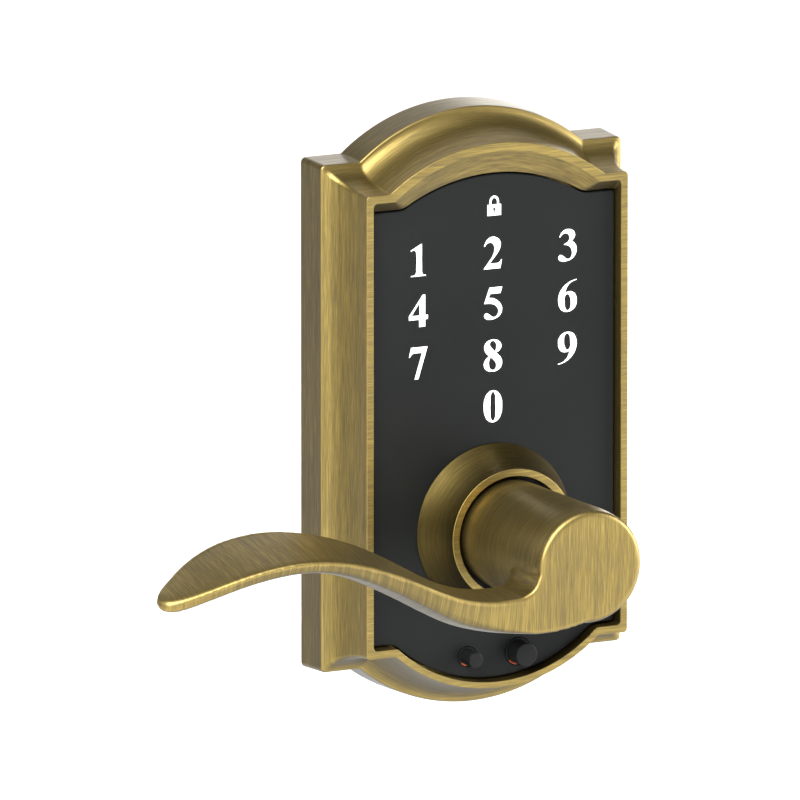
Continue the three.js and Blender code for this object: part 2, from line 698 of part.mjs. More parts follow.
function standoff(x, z) {
  const y0 = PLATE_BACK_Y + 0.2;
  const y1 = CAGE_PLATE_Y - 0.2;
  return turned([[0, y0], [2, y0], [2, y1], [1.4, y1], [1.4, y1 - 7], [0, y1 - 7]], 20, x, z);
}

add('motor_can', motorCan(), STEEL);
add('lead_screw', leadScrew(), STEEL);
add('shift_fork', shiftFork(), NYLON);
const guideRod = rod(GUIDE.r, PLATE_BACK_Y + 0.2, CAGE_PLATE_Y - 0.2, 16, GUIDE.x, GUIDE.z);
add('fork_guide_rod', guideRod, STEEL);
add('cage_end_plate', cagePlate(), STEEL);
STANDOFFS.forEach(([x, z], i) => {
  add(`cage_standoff_${i + 1}`, standoff(x, z), ZINC);
  add(`cage_screw_${i + 1}`, screw(x, z, CAGE_PLATE_Y + CAGE_PLATE_T + 0.2, 2.1, 1.1, 1.1, 16.4), ZINC);
});

export default group;
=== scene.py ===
"""Looks for the keypad lever lock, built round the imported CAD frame.

The scene is in metres. The sizes and tables below are in millimetres, in the CAD's own frame:
origin on the lever's axis at the door face, front along -Y, +Z up."""

import json
import math

import bmesh
import bpy
import numpy as np
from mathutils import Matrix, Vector


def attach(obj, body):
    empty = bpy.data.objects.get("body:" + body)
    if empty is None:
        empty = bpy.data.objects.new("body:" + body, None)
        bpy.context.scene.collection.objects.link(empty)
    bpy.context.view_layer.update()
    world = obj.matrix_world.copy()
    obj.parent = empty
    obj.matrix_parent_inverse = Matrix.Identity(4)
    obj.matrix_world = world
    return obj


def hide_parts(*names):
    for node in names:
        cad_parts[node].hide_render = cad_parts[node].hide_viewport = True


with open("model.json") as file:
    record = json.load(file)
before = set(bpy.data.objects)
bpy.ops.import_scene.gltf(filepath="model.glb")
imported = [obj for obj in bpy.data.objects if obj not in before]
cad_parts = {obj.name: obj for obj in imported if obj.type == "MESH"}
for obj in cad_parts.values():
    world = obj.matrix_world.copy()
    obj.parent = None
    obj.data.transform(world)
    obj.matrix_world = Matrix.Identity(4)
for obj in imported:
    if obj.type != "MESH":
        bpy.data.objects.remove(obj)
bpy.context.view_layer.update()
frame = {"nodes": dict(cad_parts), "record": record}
NODES = frame["nodes"]
MM = 0.001

# ---------------------------------------------------------------- dimensions

CENTRE_Z = 26
BAND_Y = -9.4
BEZEL_Y = -22.2
PANEL_Y = -20
PANEL_BACK_Y = -16.9
LEDGE_Y = -16
LEDGE_BACK_Y = -14.2
CAVITY_STEP_Y = -9
PANEL_GAP = 0.45
PANEL_EDGE = 0.3

# Outlines: half width, corner radius, valley radius, then shoulder height, arch radius and arch centre
# for the top and for the bottom. Bezel, rim and pocket are drawn a little finer than the CAD's.
OUTER = (38, 1.2, 0.7, (58.1, 43.7, 24.57), (58.1, 43.7, 24.57))
BAND = (37.6, 1.1, 1.1, (57.7, 43.3, 24.57), (57.7, 43.3, 24.57))
BEZEL = (32.7, 0.9, 1.4, (52.5, 43.2, 18.65), (52.8, 38.5, 23.85))
RIM = (30.95, 0.9, 0.8, (50.7, 40.1, 19.85), (50.95, 36.5, 24.35))
POCKET = (30.8, 0.9, 4, (48.5, 43.6, 11.16), (50.85, 36.4, 24.35))
WINDOW = (26.8, 1, 1.5, (44.7, 36.8, 14.8), (48.2, 34, 24.5))
CAVITY_FRONT = (30.6, 1.5, 3, (50.4, 41.2, 18.3), (50.4, 36.4, 24.3))
CAVITY = (35.4, 1.5, 3, (55.4, 41, 24.57), (55.4, 41, 24.57))

COLLAR_BASE_R = 19.3
COLLAR_FACE_R = 15.15
COLLAR_FACE_Y = -29.9
COLLAR_TUBE_R = 14.6
COLLAR_BORE_R = 13.45
COLLAR_STEP_Y = -25.5
COLLAR_BACK_Y = -13.6
COLLAR_LIFT = 0.25  # gap between the panel and the collar's base
COLLAR_CLEARANCE = 0.3
COLLAR_FLARE = 1.6
BUSHING_R = 10.2

STUD_X = 6.35
STUD_Z = -29
STUD_Y = -24.3
STUD_EDGE = 0.35
STUDS = {"small": (-STUD_X, 1.75), "large": (STUD_X, 2.65)}  # place along X, radius
SEAL_GAP = 0.05
SEAL_WIDTH = 0.38
SEAL_EDGE = 0.12
SEAL_PROUD = 0.02
TAB_FROM, TAB_TO = 222, 262  # the seal's orange part, in degrees round the stud; the rest is painted black as shade
PLATE_SCREWS = [(-30, -20), (30, -20), (-30, 72), (30, 72)]
BOSS_R = 3.2
BOSS_HOLE_R = 1.6
BOSS_BACK_Y = -3.3
BOSS_SINK = 0.6  # how far a boss reaches into the shell's front wall

NECK_R = 12.7
NECK_TAPER = 0.28
NECK_BACK_Y = -26
HEAD_Y = -67.6
HEAD_R = 12.7
HEAD_EDGE = 1.2
SEAT_R = 8.3
SEAT_Y = -44
SET_SCREW_R = 2.1
SET_SCREW_Y = -36
VOXEL = 0.36
RELAX_ROUNDS = 18
WEAR_FROM, WEAR_FULL = 0.3, 1.2  # outward bend, per mm, at which wear starts and is complete

# The lever arm by station: x, upper and lower edge of the front face, depth, rise of the top,
# thickness at the back, belly, and how far the tip's front edge draws back
ARM = np.array([
    (3, 4, -11.3, 12, 0, 9, 0, 0),
    (-4, 4, -13.2, 13, 0, 9, 0, 0),
    (-10.6, 3, -14, 14.6, 0, 8.8, 0.3, 0),
    (-11.8, 1.2, -14, 15, 0, 8.6, 0.4, 0),
    (-12.7, -0.9, -14, 15.2, 0, 8.5, 0.5, 0),
    (-13.4, -2.7, -13.9, 15.4, 0, 8.4, 0.6, 0),
    (-14.4, -3.95, -13.8, 15.6, 0, 8.2, 0.75, 0),
    (-15.6, -4.7, -13.6, 15.8, 0, 8, 0.9, 0),
    (-20, -5.4, -12.8, 16.4, 0, 7, 1.4, 0),
    (-26, -5.2, -11.1, 17, 0.02, 6, 2, 0),
    (-32, -3.9, -8.8, 17.6, 0.06, 5.4, 2.5, 0),
    (-38, -1.5, -5.7, 18, 0.11, 5.2, 2.8, 0),
    (-44, 1.3, -2.5, 18.4, 0.14, 5, 2.8, 0),
    (-50, 3.8, 0.4, 18.8, 0.155, 4.6, 2.7, 0),
    (-56, 5.8, 2.8, 19.1, 0.16, 4, 2.4, 0),
    (-62, 7, 4.4, 19.2, 0.17, 3.5, 2.2, 0),
    (-68, 7.4, 5, 19.2, 0.19, 3, 2.2, 0),
    (-74, 7, 4.5, 19.1, 0.205, 2.8, 2.1, 0),
    (-80, 5.9, 3.3, 18.4, 0.22, 2.6, 1.9, 0),
    (-86, 4.2, 1.6, 16.6, 0.24, 2.4, 1.5, 0),
    (-92, 2.3, -0.3, 13.4, 0.25, 2.2, 1, 0),
    (-96, 1.1, -1.5, 10.2, 0.25, 2.1, 0.6, 0),
    (-98.8, 0.4, -2.1, 7.4, 0.24, 1.9, 0.3, 0.3),
    (-100.4, 0.1, -2.1, 4.8, 0.22, 1.7, 0, 0.9),
    (-101.3, -0.2, -1.8, 2.2, 0.2, 1.3, 0, 1.9),
])
ROOT_X, ROOT_Y, ROOT_Z = -8, -53, 1  # the arm's root is left of, in front of and below these
ARM_BEND_X = -35
ARM_BEND = 0.0019
ARM_LEAN = 0.28  # how far the arm's front face leans back at its lower edge, per mm of height

# ---------------------------------------------------------------- camera and light

CAMERA_LEFT = 26.97  # degrees round from straight in front
CAMERA_UP = 11.88  # degrees above the horizon
CAMERA_DISTANCE = 5.297
CAMERA_LENS = 1065.5
FRAME_RIGHT = -0.01171  # where the picture's centre lies from the escutcheon's centre
FRAME_UP = -0.00074


def make_camera():
    a, e = math.radians(CAMERA_LEFT), math.radians(CAMERA_UP)
    right = Vector((math.cos(a), -math.sin(a), 0))
    up = Vector((math.sin(a) * math.sin(e), math.cos(a) * math.sin(e), math.cos(e)))
    back = right.cross(up)
    data = bpy.data.cameras.new("camera")
    data.lens = CAMERA_LENS
    data.clip_start = 0.1
    data.clip_end = 200
    camera = bpy.data.objects.new("camera", data)
    bpy.context.scene.collection.objects.link(camera)
    camera.location = (Vector((0, 0, CENTRE_Z * MM)) + back * CAMERA_DISTANCE
                       + right * FRAME_RIGHT + up * FRAME_UP)
    camera.rotation_euler = back.to_track_quat("Z", "Y").to_euler()
    bpy.context.scene.camera = camera


def area_light(name, spot, target, size, power):
    data = bpy.data.lights.new(name, "AREA")
    data.shape = "RECTANGLE"
    data.size, data.size_y = size
    data.energy = power
    light = bpy.data.objects.new(name, data)
    bpy.context.scene.collection.objects.link(light)
    light.location = spot
    light.rotation_euler = (Vector(spot) - Vector(target)).to_track_quat("Z", "Y").to_euler()


make_camera()

# ---------------------------------------------------------------- outlines and rings


def arc(cx, cz, r, start, end, steps):
    a = np.linspace(start, end, steps + 1)
    return np.stack([cx + r * np.cos(a), cz + r * np.sin(a)], 1)


def quarter(w, corner, valley, arch):
    """Right half of an outline above its centre line, from the side to the crown."""
    h, r, z = arch
    right = math.pi / 2
    x = math.sqrt((r + valley) ** 2 - (h + valley - z) ** 2)
    meet = math.atan2(h + valley - z, x)
    return np.concatenate([
        arc(w - corner, h - corner, corner, 0, right, 7),
        arc(x, h + valley, valley, -right, meet - math.pi, 8),
        arc(0, z, r, meet, right, 42)[1:],
    ])


def outline(spec, inset=0.0):
    """Closed outline, counted from the bottom's crown up the right side and down the left."""
    w, corner, valley, top, bottom = spec
    shrink = [(h - inset, r - inset, z) for h, r, z in (top, bottom)]
    upper = quarter(w - inset, corner, valley + inset, shrink[0])
    lower = quarter(w - inset, corner, valley + inset, shrink[1]) * (1, -1)
    right = np.concatenate([lower[::-1], upper])
    left = right[1:-1][::-1] * (-1, 1)
    return np.concatenate([right, left])


def at_depth(points, y):
    return np.stack([points[:, 0], np.full(len(points), y), points[:, 1] + CENTRE_Z], 1)


def circle(r, y, x=0.0, z=0.0, count=96):
    a = np.linspace(0, 2 * math.pi, count, endpoint=False)
    return np.stack([x + r * np.cos(a), np.full(count, y), z + r * np.sin(a)], 1)


def mirrored_length(points):
    """Length along a closed loop, counted from its first point both ways round."""
    steps = np.linalg.norm(np.roll(points, -1, 0) - points, axis=1)
    run = np.concatenate([[0], np.cumsum(steps)[:-1]])
    return np.minimum(run, steps.sum() - run)


def walk(rings, k, way, distance, at):
    """The ring that lies this far along the profile from ring k, and the next one kept."""
    n = len(rings)
    here = k
    while True:
        there = (here + way) % n
        step = np.linalg.norm(rings[there][at] - rings[here][at])
        if step > distance:
            return rings[here] + (rings[there] - rings[here]) * (distance / step), there
        distance -= step
        here = there


def round_profile(rings, zones, radii, at=0, steps=5, fresh=()):
    """Rounds the profile at the chosen rings. Returns rings, zones and wear, which is none on
    the fresh ones."""
    n = len(rings)
    dropped = set()
    arcs = {}
    for k, radius in radii.items():
        before, low = walk(rings, k, -1, radius, at)
        after, high = walk(rings, k, 1, radius, at)
        arcs[k] = (before, after)
        j = (low + 1) % n
        while j != high:
            dropped.add(j)
            j = (j + 1) % n
    out, tags, wear = [], [], []
    for k in range(n):
        if k in arcs:
            before, after = arcs[k]
            for s in range(steps + 1):
                t = s / steps
                out.append((1 - t) ** 2 * before + 2 * t * (1 - t) * rings[k] + t * t * after)
                tags.append(zones[k - 1] if t < 0.5 else zones[k])
                wear.append(0.0 if k in fresh else math.sin(math.pi * t))
        elif k not in dropped:
            out.append(rings[k])
            tags.append(zones[k])
            wear.append(0.0)
    return out, tags, wear


# ---------------------------------------------------------------- meshes


def finish_mesh(mesh, name, sharp=32):
    mesh.polygons.foreach_set("use_smooth", [True] * len(mesh.polygons))
    mesh.set_sharp_from_angle(angle=math.radians(sharp))
    piece = bpy.data.objects.new(name, mesh)
    bpy.context.scene.collection.objects.link(piece)
    normals = piece.modifiers.new("normals", "WEIGHTED_NORMAL")
    normals.keep_sharp = True
    normals.weight = 80
    return piece


def store(mesh, grain, wear):
    mesh.attributes.new("grain", "FLOAT_VECTOR", "CORNER").data.foreach_set(
        "vector", np.ascontiguousarray(grain, np.float32).ravel())
    mesh.attributes.new("wear", "FLOAT", "POINT").data.foreach_set(
        "value", np.ascontiguousarray(wear, np.float32))


PAINTED_SHADE_ZONES = {"flank": 1, "dark": 2}  # zones painted as shade instead of taking a piece's first material: darker brass, or black
FACE_GRAIN, NECK_GRAIN, ARM_GRAIN = 40.0, 20.0, 60.0  # tell the brushed zones apart


def skin_mesh(name, rings, zones, wear, at=0):
    """A closed skin round equal rings whose last joins the first. The grain attribute holds, in
    mm, the way along the brushing, the way across it, and a number that tells zones apart."""
    m, n = len(rings), len(rings[0])
    points = np.concatenate(rings)
    along = mirrored_length(rings[0])
    steps = [np.linalg.norm(rings[(i + 1) % m][at] - rings[i][at]) for i in range(m)]
    across = np.concatenate([[0], np.cumsum(steps)])
    faces = np.empty((m, n, 4), np.int64)
    grain = np.empty((m, n, 4, 3))
    j = np.arange(n)
    k = (j + 1) % n
    for i in range(m):
        nxt = (i + 1) % m
        corners = [(i, j, across[i]), (i, k, across[i]),
                   (nxt, k, across[i + 1]), (nxt, j, across[i + 1])]
        for c, (ring, which, fine) in enumerate(corners):
            faces[i, :, c] = ring * n + which
            if zones[i] == "face":
                spots = rings[ring][which]
                grain[i, :, c] = np.stack(
                    [spots[:, 0], spots[:, 2], np.full(n, FACE_GRAIN)], 1)
            else:
                grain[i, :, c] = np.stack(
                    [along[which], np.full(n, fine), np.zeros(n)], 1)
    faces = faces.reshape(-1, 4)
    grain = grain.reshape(-1, 4, 3)
    a, b, c, d = (points[faces[:, q]] for q in range(4))
    volume = np.einsum("ij,ij->i", a, np.cross(b, c)) + np.einsum("ij,ij->i", a, np.cross(c, d))
    if volume.sum() < 0:
        faces = faces[:, ::-1]
        grain = grain[:, ::-1]
    mesh = bpy.data.meshes.new(name)
    mesh.from_pydata((points * MM).tolist(), [], faces.tolist())
    finishes = np.array([PAINTED_SHADE_ZONES.get(zone, 0) for zone in zones])
    mesh.polygons.foreach_set("material_index", np.repeat(finishes, n))
    store(mesh, grain, np.repeat(wear, n))
    return mesh


def join_meshes(name, meshes):
    """One mesh of several closed skins, with their attributes kept."""
    bm = bmesh.new()
    for mesh in meshes:
        bm.from_mesh(mesh)
        bpy.data.meshes.remove(mesh)
    joined = bpy.data.meshes.new(name)
    bm.to_mesh(joined)
    bm.free()
    return joined


def turned(name, profile, radii, zones=None, x=0.0, z=0.0, count=96):
    """A round skin about the Y axis. The profile is a closed list of (radius, y), and zones
    says what the strip after each of its points is."""
    rings = [circle(r, y, x, z, count) for r, y in profile]
    return skin_mesh(name, *round_profile(rings, zones or ["run"] * len(rings), radii))


def place(piece, body, slot, materials, *replaced):
    for material in materials:
        piece.data.materials.append(material)
    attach(piece, body)
    if replaced:
        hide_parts(*replaced)
    return piece


# ---------------------------------------------------------------- materials


class Net:
    """Short way to write a material's nodes."""

    def __init__(self, name):
        self.material = bpy.data.materials.new(name)
        self.material.use_nodes = True
        self.tree = self.material.node_tree
        self.shader = self.tree.nodes["Principled BSDF"]

    def node(self, kind, inputs=(), **settings):
        made = self.tree.nodes.new("ShaderNode" + kind)
        for key, value in settings.items():
            setattr(made, key, value)
        for key, value in dict(inputs).items():
            self.put(made.inputs[key], value)
        return made

    def put(self, socket, value):
        if isinstance(value, bpy.types.NodeSocket):
            self.tree.links.new(value, socket)
        else:
            socket.default_value = value

    def math(self, operation, a, b=0.0, c=0.0):
        return self.node("Math", {0: a, 1: b, 2: c}, operation=operation).outputs[0]

    def attribute(self, name, output):
        return self.node("Attribute", attribute_name=name).outputs[output]

    def stretch(self, vector, scale):
        return self.node("Mapping", {"Vector": vector, "Scale": scale}).outputs["Vector"]

    def noise(self, vector, scale, detail=3.0, rough=0.55):
        inputs = {"Vector": vector, "Scale": scale, "Detail": detail, "Roughness": rough}
        return self.node("TexNoise", inputs).outputs["Fac"]

    def ramp(self, value, stops):
        made = self.node("ValToRGB", {"Fac": value})
        points = made.color_ramp.elements
        while len(points) < len(stops):
            points.new(0.5)
        for point, (spot, colour) in zip(points, stops):
            point.position = spot
            point.color = (*colour, 1)
        return made.outputs["Color"]

    def span(self, value, low, high, new_low, new_high):
        inputs = {"Value": value, "From Min": low, "From Max": high,
                  "To Min": new_low, "To Max": new_high}
        return self.node("MapRange", inputs).outputs["Result"]

    def mix(self, factor, a, b, blend="MIX"):
        made = self.node("Mix", data_type="RGBA", blend_type=blend)
        self.put(made.inputs[0], factor)
        self.put(made.inputs[6], a)
        self.put(made.inputs[7], b)
        return made.outputs[2]

    def bump(self, height, strength, distance):
        inputs = {"Height": height, "Strength": strength, "Distance": distance}
        return self.node("Bump", inputs).outputs["Normal"]

    def shade(self, **sockets):
        for key, value in sockets.items():
            self.put(self.shader.inputs[key.replace("_", " ").title().replace("Ior", "IOR")],
                     value)
        return self.material


def object_space(net):
    return net.node("TexCoord").outputs["Object"]


def antique_brass(name, depth=1.0, coat=0.7):
    """Brushed brass under a worn brown patina. The streaks follow the grain attribute, and
    depth scales the whole colour; below 1 that is painted shade."""
    net = Net(name)
    grain = net.attribute("grain", "Vector")
    hair = net.noise(net.stretch(grain, (0.16, 3.6, 1)), 1.0, 2.0, 0.6)
    streak = net.noise(net.stretch(grain, (0.035, 0.9, 1)), 1.0, 3.0, 0.6)
    cloud = net.noise(object_space(net), 38.0, 3.0, 0.5)
    tone = net.math("ADD", net.math("MULTIPLY", hair, 0.5), net.math("MULTIPLY", streak, 0.34))
    tone = net.math("ADD", tone, net.math("MULTIPLY", cloud, 0.16))
    stops = [(0.36, (0.17, 0.126, 0.043)), (0.5, (0.275, 0.198, 0.046)),
             (0.64, (0.44, 0.32, 0.08))]
    colour = net.ramp(tone, [(spot, tuple(depth * c for c in tint)) for spot, tint in stops])
    rub = net.math("MULTIPLY", net.attribute("wear", "Fac"), 0.42)
    colour = net.mix(rub, colour, (0.58, 0.42, 0.13, 1))
    # Painted shade: faces that point down are darkened towards near black.
    up = net.node("SeparateXYZ", {0: net.node("TexCoord").outputs["Normal"]}).outputs[2]
    colour = net.mix(net.span(up, -0.1, -0.85, 0, 0.84), colour, (0.02, 0.017, 0.011, 1))
    roughness = net.span(tone, 0.38, 0.62, 0.5, 0.4)
    normal = net.bump(tone, 0.35, 0.00006)
    return net.shade(base_color=colour, metallic=1.0, roughness=roughness, normal=normal,
                     coat_weight=coat, coat_roughness=0.42)


def satin_black_lens():
    net = Net("black_lens")
    spot = object_space(net)
    haze = net.noise(spot, 30.0, 4.0)
    grit = net.noise(spot, 2600.0, 2.0)
    colour = net.ramp(haze, [(0.35, (0.0078, 0.0089, 0.0085)), (0.65, (0.0096, 0.0109, 0.0104))])
    roughness = net.math("ADD", net.span(haze, 0.3, 0.7, 0.36, 0.44),
                         net.math("MULTIPLY", grit, 0.05))
    return net.shade(base_color=colour, roughness=roughness, ior=1.25,
                     normal=net.bump(grit, 0.08, 0.00001))


def plain(name, dark, light, roughness, scale=260.0, bump=0.1, depth=0.00002, metallic=0.0):
    """A moulded or painted surface: two close tones, fine relief and uneven gloss."""
    net = Net(name)
    spot = object_space(net)
    cloud = net.noise(spot, scale * 0.25, 3.0)
    fine = net.noise(spot, scale * 6, 3.0)
    colour = net.ramp(cloud, [(0.35, dark), (0.65, light)])
    spread = net.span(fine, 0.3, 0.7, roughness - 0.06, roughness + 0.06)
    return net.shade(base_color=colour, roughness=spread, metallic=metallic,
                     normal=net.bump(fine, bump, depth))


def metal(name, dark, light, roughness, stretch=(1, 0.06, 1), scale=2200.0):
    """Machined or plated metal with fine tool marks."""
    net = Net(name)
    spot = object_space(net)
    marks = net.noise(net.stretch(spot, stretch), scale, 3.0, 0.6)
    cloud = net.noise(spot, 90.0, 3.0)
    tone = net.math("ADD", net.math("MULTIPLY", marks, 0.6), net.math("MULTIPLY", cloud, 0.4))
    colour = net.ramp(tone, [(0.38, dark), (0.62, light)])
    spread = net.span(tone, 0.35, 0.65, roughness + 0.1, roughness - 0.06)
    return net.shade(base_color=colour, metallic=1.0, roughness=spread,
                     normal=net.bump(marks, 0.2, 0.00002))


def glow(material, strength):
    shader = material.node_tree.nodes["Principled BSDF"]
    shader.inputs["Emission Color"].default_value = (1, 1, 1, 1)
    shader.inputs["Emission Strength"].default_value = strength


BRASS = antique_brass("antique_brass")
# Darker copies of the brass as painted shade: one for the housing's side band, one for the collar's
# flank and base.
SHADED_BRASS = antique_brass("antique_brass_shaded", 0.6)
DEEP_SHADE_BRASS = antique_brass("antique_brass_deep_shade", 0.38, 0.2)
LENS = satin_black_lens()
INK = plain("white_ink", (0.86, 0.86, 0.86), (0.95, 0.95, 0.95), 0.55)
# Painted light: the white ink glows a little, so it reads bright white however it is lit.
glow(INK, 0.7)
CONTACT = plain("black_contact", (0.009, 0.0095, 0.0095), (0.014, 0.0145, 0.0145), 0.42, 400.0)
CONTACT.node_tree.nodes["Principled BSDF"].inputs["IOR"].default_value = 1.25
ORANGE = plain("orange_seal", (0.30, 0.055, 0.010), (0.42, 0.09, 0.015), 0.7)
BOARD = plain("circuit_board", (0.010, 0.055, 0.03), (0.018, 0.085, 0.05), 0.45)
CLEAR = plain("clear_plastic", (0.66, 0.70, 0.68), (0.76, 0.79, 0.77), 0.5)
CHIP = plain("black_plastic", (0.012, 0.012, 0.013), (0.022, 0.022, 0.023), 0.6)
NYLON = plain("white_nylon", (0.62, 0.60, 0.53), (0.72, 0.70, 0.63), 0.5)
RUBBER = plain("black_rubber", (0.013, 0.013, 0.013), (0.024, 0.024, 0.023), 0.85, 420.0, 0.25)
ZINC = metal("zinc_plated", (0.40, 0.41, 0.39), (0.60, 0.61, 0.57), 0.36)
STEEL = metal("bright_steel", (0.34, 0.35, 0.36), (0.55, 0.56, 0.57), 0.28)
SLOTS = {
    "antique_brass": BRASS, "black_lens": LENS, "black_contact": CONTACT, "orange_seal": ORANGE,
    "circuit_board": BOARD, "clear_plastic": CLEAR, "black_plastic": CHIP, "white_nylon": NYLON,
    "black_rubber": RUBBER, "zinc_plated": ZINC, "bright_steel": STEEL,
}

# ---------------------------------------------------------------- escutcheon housing


def housing():
    """The cast shell: a flat band, a cove up to the bezel, the stepped window, the cavity, and
    the bosses for the back plate's screws."""
    cove = 28
    band, bezel = outline(BAND), outline(BEZEL)
    rings = [at_depth(outline(OUTER), 0), at_depth(band, BAND_Y)]
    for i in range(1, cove + 1):
        a = i / cove * math.pi / 2
        y = BEZEL_Y + (BAND_Y - BEZEL_Y) * math.cos(a)
        rings.append(at_depth(band + (bezel - band) * math.sin(a), y))
    edge = len(rings) - 1
    inner = [(RIM, BEZEL_Y), (POCKET, PANEL_Y), (POCKET, LEDGE_Y), (WINDOW, LEDGE_Y),
             (WINDOW, LEDGE_BACK_Y), (CAVITY_FRONT, LEDGE_BACK_Y), (CAVITY, CAVITY_STEP_Y),
             (CAVITY, 0)]
    rings += [at_depth(outline(spec), y) for spec, y in inner]
    zones = ["run"] * len(rings)
    # The flat side band takes the darker brass copy: painted shade.
    zones[0] = "flank"
    zones[edge] = "face"
    radii = {0: 0.3, 1: 0.5, edge: 0.26, edge + 1: 0.2}
    side = len(quarter(*BAND[:3], BAND[4])) - 1
    rounded = round_profile(rings, zones, radii, side, fresh={edge + 1})
    shell = skin_mesh("shell", *rounded, at=side)
    bosses = []
    front = LEDGE_BACK_Y - BOSS_SINK
    for x, z in PLATE_SCREWS:
        profile = [(BOSS_R, front), (BOSS_R, BOSS_BACK_Y), (BOSS_HOLE_R, BOSS_BACK_Y),
                   (BOSS_HOLE_R, front)]
        bosses.append(turned("boss", profile, {}, None, x, z, 32))
    return join_meshes("escutcheon_shell", [shell, *bosses])


place(finish_mesh(housing(), "escutcheon_shell"), "escutcheon", "antique_brass",
      [BRASS, SHADED_BRASS], "escutcheon_housing")

# ---------------------------------------------------------------- touch panel


def plate_mesh(name, loops, front, back, edge):
    """A flat plate facing -Y. Each loop is a function of how far the edge is drawn into the
    plate; the first is the outside and the rest are holes."""
    bm = bmesh.new()
    rows = [(edge * (1 - math.sin(a)), front + edge * (1 - math.cos(a)))
            for a in np.linspace(0, math.pi / 2, 6)] + [(0, back)]
    first, last = [], []
    for loop in loops:
        rings = []
        for inset, y in rows:
            ring = [bm.verts.new((x * MM, y * MM, z * MM)) for x, z in loop(inset)]
            rings.append(ring)
        for low, high in zip(rings, rings[1:]):
            for j in range(len(low)):
                k = (j + 1) % len(low)
                bm.faces.new((low[j], low[k], high[k], high[j]))
        for ring, edges in ((rings[0], first), (rings[-1], last)):
            edges += [bm.edges.get((ring[j], ring[(j + 1) % len(ring)]))
                      for j in range(len(ring))]
    for edges in (first, last):
        bmesh.ops.triangle_fill(bm, edges=edges, use_beauty=True, normal=(0, -1, 0))
    bmesh.ops.recalc_face_normals(bm, faces=bm.faces)
    mesh = bpy.data.meshes.new(name)
    bm.to_mesh(mesh)
    bm.free()
    return mesh


def hole(r, x, z):
    return lambda inset: circle(r + inset, 0, x, z)[:, ::2]


def panel_outline(inset):
    return outline(POCKET, PANEL_GAP + inset) + (0, CENTRE_Z)


panel_loops = [panel_outline, hole(COLLAR_TUBE_R + COLLAR_CLEARANCE, 0, 0)]
panel_loops += [hole(r + SEAL_WIDTH + 2 * SEAL_GAP, x, STUD_Z) for x, r in STUDS.values()]
panel = plate_mesh("touch_panel", panel_loops, PANEL_Y, PANEL_BACK_Y, PANEL_EDGE)
place(finish_mesh(panel, "touch_panel"), "escutcheon", "black_lens", [LENS], "touch_lens")

